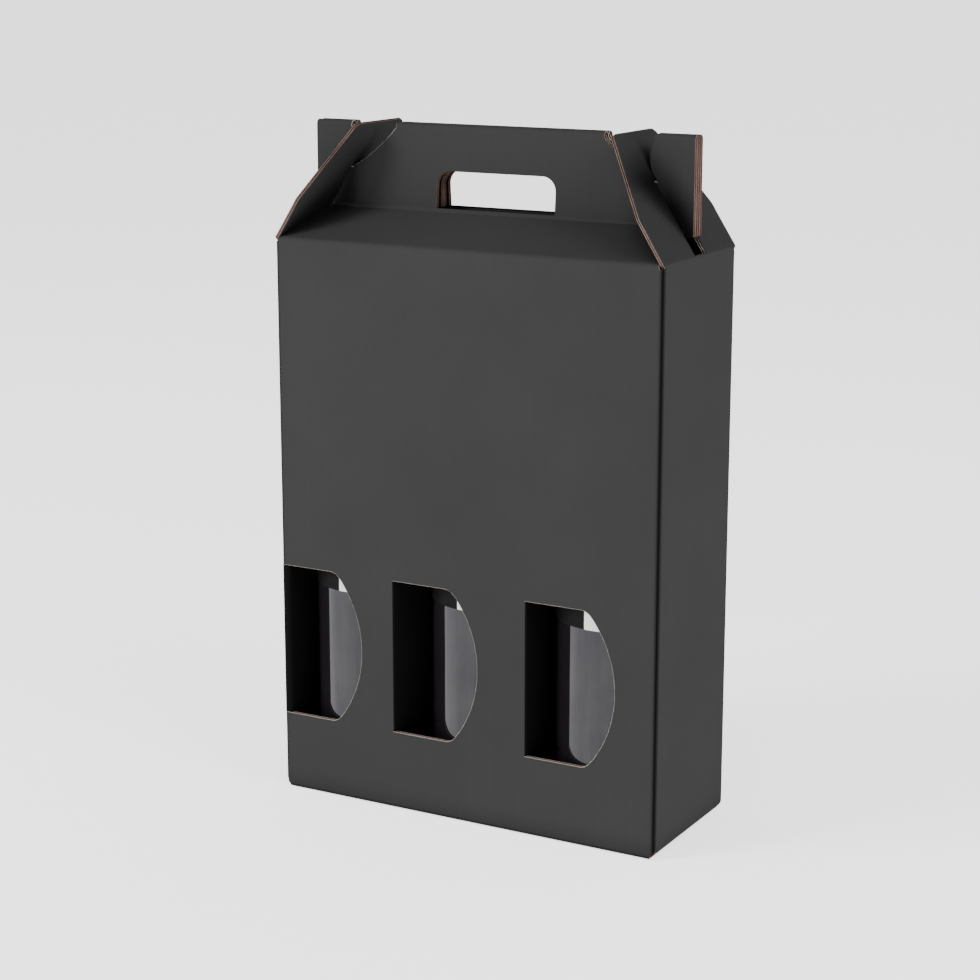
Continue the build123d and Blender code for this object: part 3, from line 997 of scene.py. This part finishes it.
def paper_material(name, dark, light):
    """Plain uncoated label paper."""
    material, tree, shader, place = new_material(name)
    fibre = noise(tree, place, scale=1400.0, detail=4.0)
    tree.links.new(blend(tree, fibre, dark, light), shader.inputs["Base Color"])
    shader.inputs["Roughness"].default_value = 0.7
    shader.inputs["Specular IOR Level"].default_value = 0.08
    emboss(tree, shader, fibre, strength=0.3, distance=0.00005)
    return material


def foil_material():
    """Satin capsule foil."""
    foil_dark = (0.045, 0.010, 0.014, 1.0)
    foil_light = (0.07, 0.016, 0.02, 1.0)
    material, tree, shader, place = new_material("satin_foil")
    grain = noise(tree, place, scale=320.0, detail=3.0)
    tree.links.new(blend(tree, grain, foil_dark, foil_light), shader.inputs["Base Color"])
    shader.inputs["Metallic"].default_value = 0.6
    shader.inputs["Roughness"].default_value = 0.38
    return material


def floor_material():
    """Plain pale light table."""
    floor_dark = (0.86, 0.89, 0.90, 1.0)
    floor_light = (0.88, 0.91, 0.92, 1.0)
    material, tree, shader, place = new_material("pale_floor")
    cloud = noise(tree, place, scale=2.0)
    tree.links.new(blend(tree, cloud, floor_dark, floor_light), shader.inputs["Base Color"])
    shader.inputs["Roughness"].default_value = 0.9
    shader.inputs["Specular IOR Level"].default_value = 0.1
    shader.inputs["Emission Color"].default_value = (1.0, 0.965, 0.955, 1.0)
    shader.inputs["Emission Strength"].default_value = 1.6
    return material


def bottle_profile():
    """Half section of the bottle from its punt to its mouth, as (radius, height)."""
    sweep = radians(shoulder_sweep)
    end_radius = bottle_radius - shoulder_radius * (1 - cos(sweep))
    root_radius = (end_radius - neck_radius) / (1 - cos(sweep))
    lip_top = bottle_height - lip_drop
    lip_foot = lip_top - lip_height
    neck_foot = lip_foot - neck_length
    shoulder_end = neck_foot - root_radius * sin(sweep)
    shoulder_foot = shoulder_end - shoulder_radius * sin(sweep)
    points = []
    for t in range(punt_steps + 1):
        angle = t * pi / (2 * punt_steps)
        points.append((punt_radius * sin(angle), punt_depth * cos(angle)))
    for t in range(heel_steps + 1):
        angle = t * pi / (2 * heel_steps)
        points.append((bottle_radius - heel_radius * (1 - sin(angle)), heel_radius * (1 - cos(angle))))
    body_heights = (heel_radius + straight_margin, shoulder_foot / 2, shoulder_foot - straight_margin)
    points += [(bottle_radius, height) for height in body_heights]
    for t in range(shoulder_steps + 1):
        angle = sweep * t / shoulder_steps
        radius = bottle_radius - shoulder_radius * (1 - cos(angle))
        points.append((radius, shoulder_foot + shoulder_radius * sin(angle)))
    for t in reversed(range(shoulder_steps)):
        angle = sweep * t / shoulder_steps
        points.append((neck_radius + root_radius * (1 - cos(angle)), neck_foot - root_radius * sin(angle)))
    points += [(neck_radius, lip_foot), (lip_radius, lip_foot), (lip_radius, lip_top), (neck_radius, lip_top)]
    return points + [(neck_radius, bottle_height), (0.0, bottle_height)]


def turned(name, profile, centre, material):
    """Solid of revolution about an upright axis."""
    mesh = bmesh.new()
    rings = []
    for radius, height in profile:
        if radius < tiny:
            rings.append([mesh.verts.new(Vector((centre.x, centre.y, centre.z + height)) * metre)])
            continue
        ring = []
        for k in range(turn_steps):
            angle = 2 * pi * k / turn_steps
            spot = Vector((centre.x + radius * cos(angle), centre.y + radius * sin(angle), centre.z + height))
            ring.append(mesh.verts.new(spot * metre))
        rings.append(ring)
    for low, high in zip(rings, rings[1:]):
        for k in range(turn_steps):
            after = (k + 1) % turn_steps
            corners = [low[k % len(low)], low[after % len(low)], high[after % len(high)], high[k % len(high)]]
            mesh.faces.new(list(dict.fromkeys(corners)))
    return finish_mesh(name, mesh, [material])


def curved_label(name, centre, foot, materials):
    """Paper round the front of a bottle: a dark part, and from panel_start on a white part."""
    mesh = bmesh.new()
    half = label_wrap / 2
    dark_angles = [-half] + even_cuts(-half, panel_start, label_step)
    white_angles = [panel_start] + even_cuts(panel_start, half, label_step) + [half]
    angles = dark_angles + white_angles
    inner = bottle_radius + label_gap
    outer = inner + label_thickness
    top = foot + label_height
    section = [(inner, foot), (outer, foot), (outer, top), (inner, top)]
    rows = []
    for angle in angles:
        turn = radians(angle)
        spots = [Vector((centre.x + r * sin(turn), centre.y - r * cos(turn), z)) for r, z in section]
        rows.append([mesh.verts.new(spot * metre) for spot in spots])
    for angle, first, last in zip(angles, rows, rows[1:]):
        for j in range(4):
            face = mesh.faces.new([first[j], last[j], last[(j + 1) % 4], first[(j + 1) % 4]])
            face.material_index = 1 if angle < panel_start - near else 0
    mesh.faces.new(rows[0])
    mesh.faces.new(rows[-1][::-1])
    bmesh.ops.recalc_face_normals(mesh, faces=mesh.faces)
    return finish_mesh(name, mesh, materials)


def finish_mesh(name, mesh, materials):
    """Object from a mesh under construction, smooth but for its edges."""
    data = bpy.data.meshes.new(name)
    mesh.to_mesh(data)
    mesh.free()
    for material in materials:
        data.materials.append(material)
    data.shade_smooth()
    data.set_sharp_from_angle(angle=radians(sharp_angle))
    thing = bpy.data.objects.new(name, data)
    bpy.context.collection.objects.link(thing)
    return thing


def dress(piece, node):
    """A piece that stands in for a CAD node."""
    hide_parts(node)
    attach(piece, "root")


# The carton
carton = Board()
build_sleeve(carton)
build_window_flaps(carton)
for side in (FRONT, BACK):
    build_roof(carton, side)
    build_handle(carton, side)
    build_bottom(carton, side)
for side in (LEFT, RIGHT):
    build_side_flap(carton, side)
    build_side_bottom(carton, side)
core_scale = 500.0
rim_scale = 700.0
kraft = kraft_material("kraft_core", (0.046, 0.021, 0.017, 1.0), (0.10, 0.049, 0.039, 1.0), core_scale)
rim_paper = kraft_material("kraft_rim", (0.10, 0.055, 0.042, 1.0), (0.30, 0.215, 0.17, 1.0), rim_scale)
# Paler copy of the rim paper, partly painted highlight on cut edges that catch the light
lit_cut_cream = kraft_material("lit_cut_cream", (0.45, 0.36, 0.30, 1.0), (0.80, 0.73, 0.66, 1.0), rim_scale)
dress(carton.finish("carton_board", [liner_material(), rim_paper, kraft, lit_cut_cream]), "carton")

# The bottles
glass = glass_material()
foil = foil_material()
papers = [
    paper_material("label_white", (0.60, 0.58, 0.56, 1.0), (0.74, 0.73, 0.70, 1.0)),
    paper_material("label_dark", (0.003, 0.0026, 0.003, 1.0), (0.006, 0.0052, 0.0056, 1.0)),
]
for place in ("left", "middle", "right"):
    low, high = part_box(f"bottle_{place}")
    centre = Vector(((low[0] + high[0]) / 2, (low[1] + high[1]) / 2, low[2])) / metre
    dress(turned(f"glass_{place}", bottle_profile(), centre, glass), f"bottle_{place}")
    label_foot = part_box(f"label_{place}")[0][2] / metre
    dress(curved_label(f"paper_{place}", centre, label_foot, papers), f"label_{place}")
    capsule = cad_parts[f"capsule_{place}"]
    capsule.data.materials.clear()
    capsule.data.materials.append(foil)

# Floor and lights, in metres
floor_size = 60.0
floor_drop = 0.0001
floor_mesh = bpy.data.meshes.new("floor")
corners = [(-1, -1), (1, -1), (1, 1), (-1, 1)]
floor_points = [(x * floor_size / 2, y * floor_size / 2, -floor_drop) for x, y in corners]
floor_mesh.from_pydata(floor_points, [], [(0, 1, 2, 3)])
floor_mesh.materials.append(floor_material())
floor = bpy.data.objects.new("floor", floor_mesh)
bpy.context.collection.objects.link(floor)

world = bpy.data.worlds.new("studio")
bpy.context.scene.world = world
world.use_nodes = True
background = world.node_tree.nodes["Background"]
background.inputs["Color"].default_value = (0.98, 1.0, 1.01, 1.0)
background.inputs["Strength"].default_value = 0.6
light_target = Vector((0.0, 0.0, 0.2))


def soft_light(name, place, size, energy):
    """Round soft box that faces the carton."""
    data = bpy.data.lights.new(name, "AREA")
    data.shape = "DISK"
    data.size = size
    data.energy = energy
    light = bpy.data.objects.new(name, data)
    light.location = place
    light.rotation_euler = (light_target - light.location).to_track_quat("-Z", "Y").to_euler()
    bpy.context.collection.objects.link(light)


soft_light("key", place=(-1.3, -1.5, 1.5), size=1.0, energy=53.0)
soft_light("fill", place=(1.5, -0.52, 1.5), size=1.2, energy=22.0)

# Camera
camera_place = Vector((635.68, -1150.07, 500.11)) * metre
camera_target = Vector((18.30, -46.70, 200.24)) * metre
camera_lens = 85.58
camera_data = bpy.data.cameras.new("camera")
camera_data.lens = camera_lens
camera = bpy.data.objects.new("camera", camera_data)
camera.location = camera_place
camera.rotation_euler = (camera_target - camera_place).to_track_quat("-Z", "Y").to_euler()
bpy.context.collection.objects.link(camera)
bpy.context.scene.camera = camera
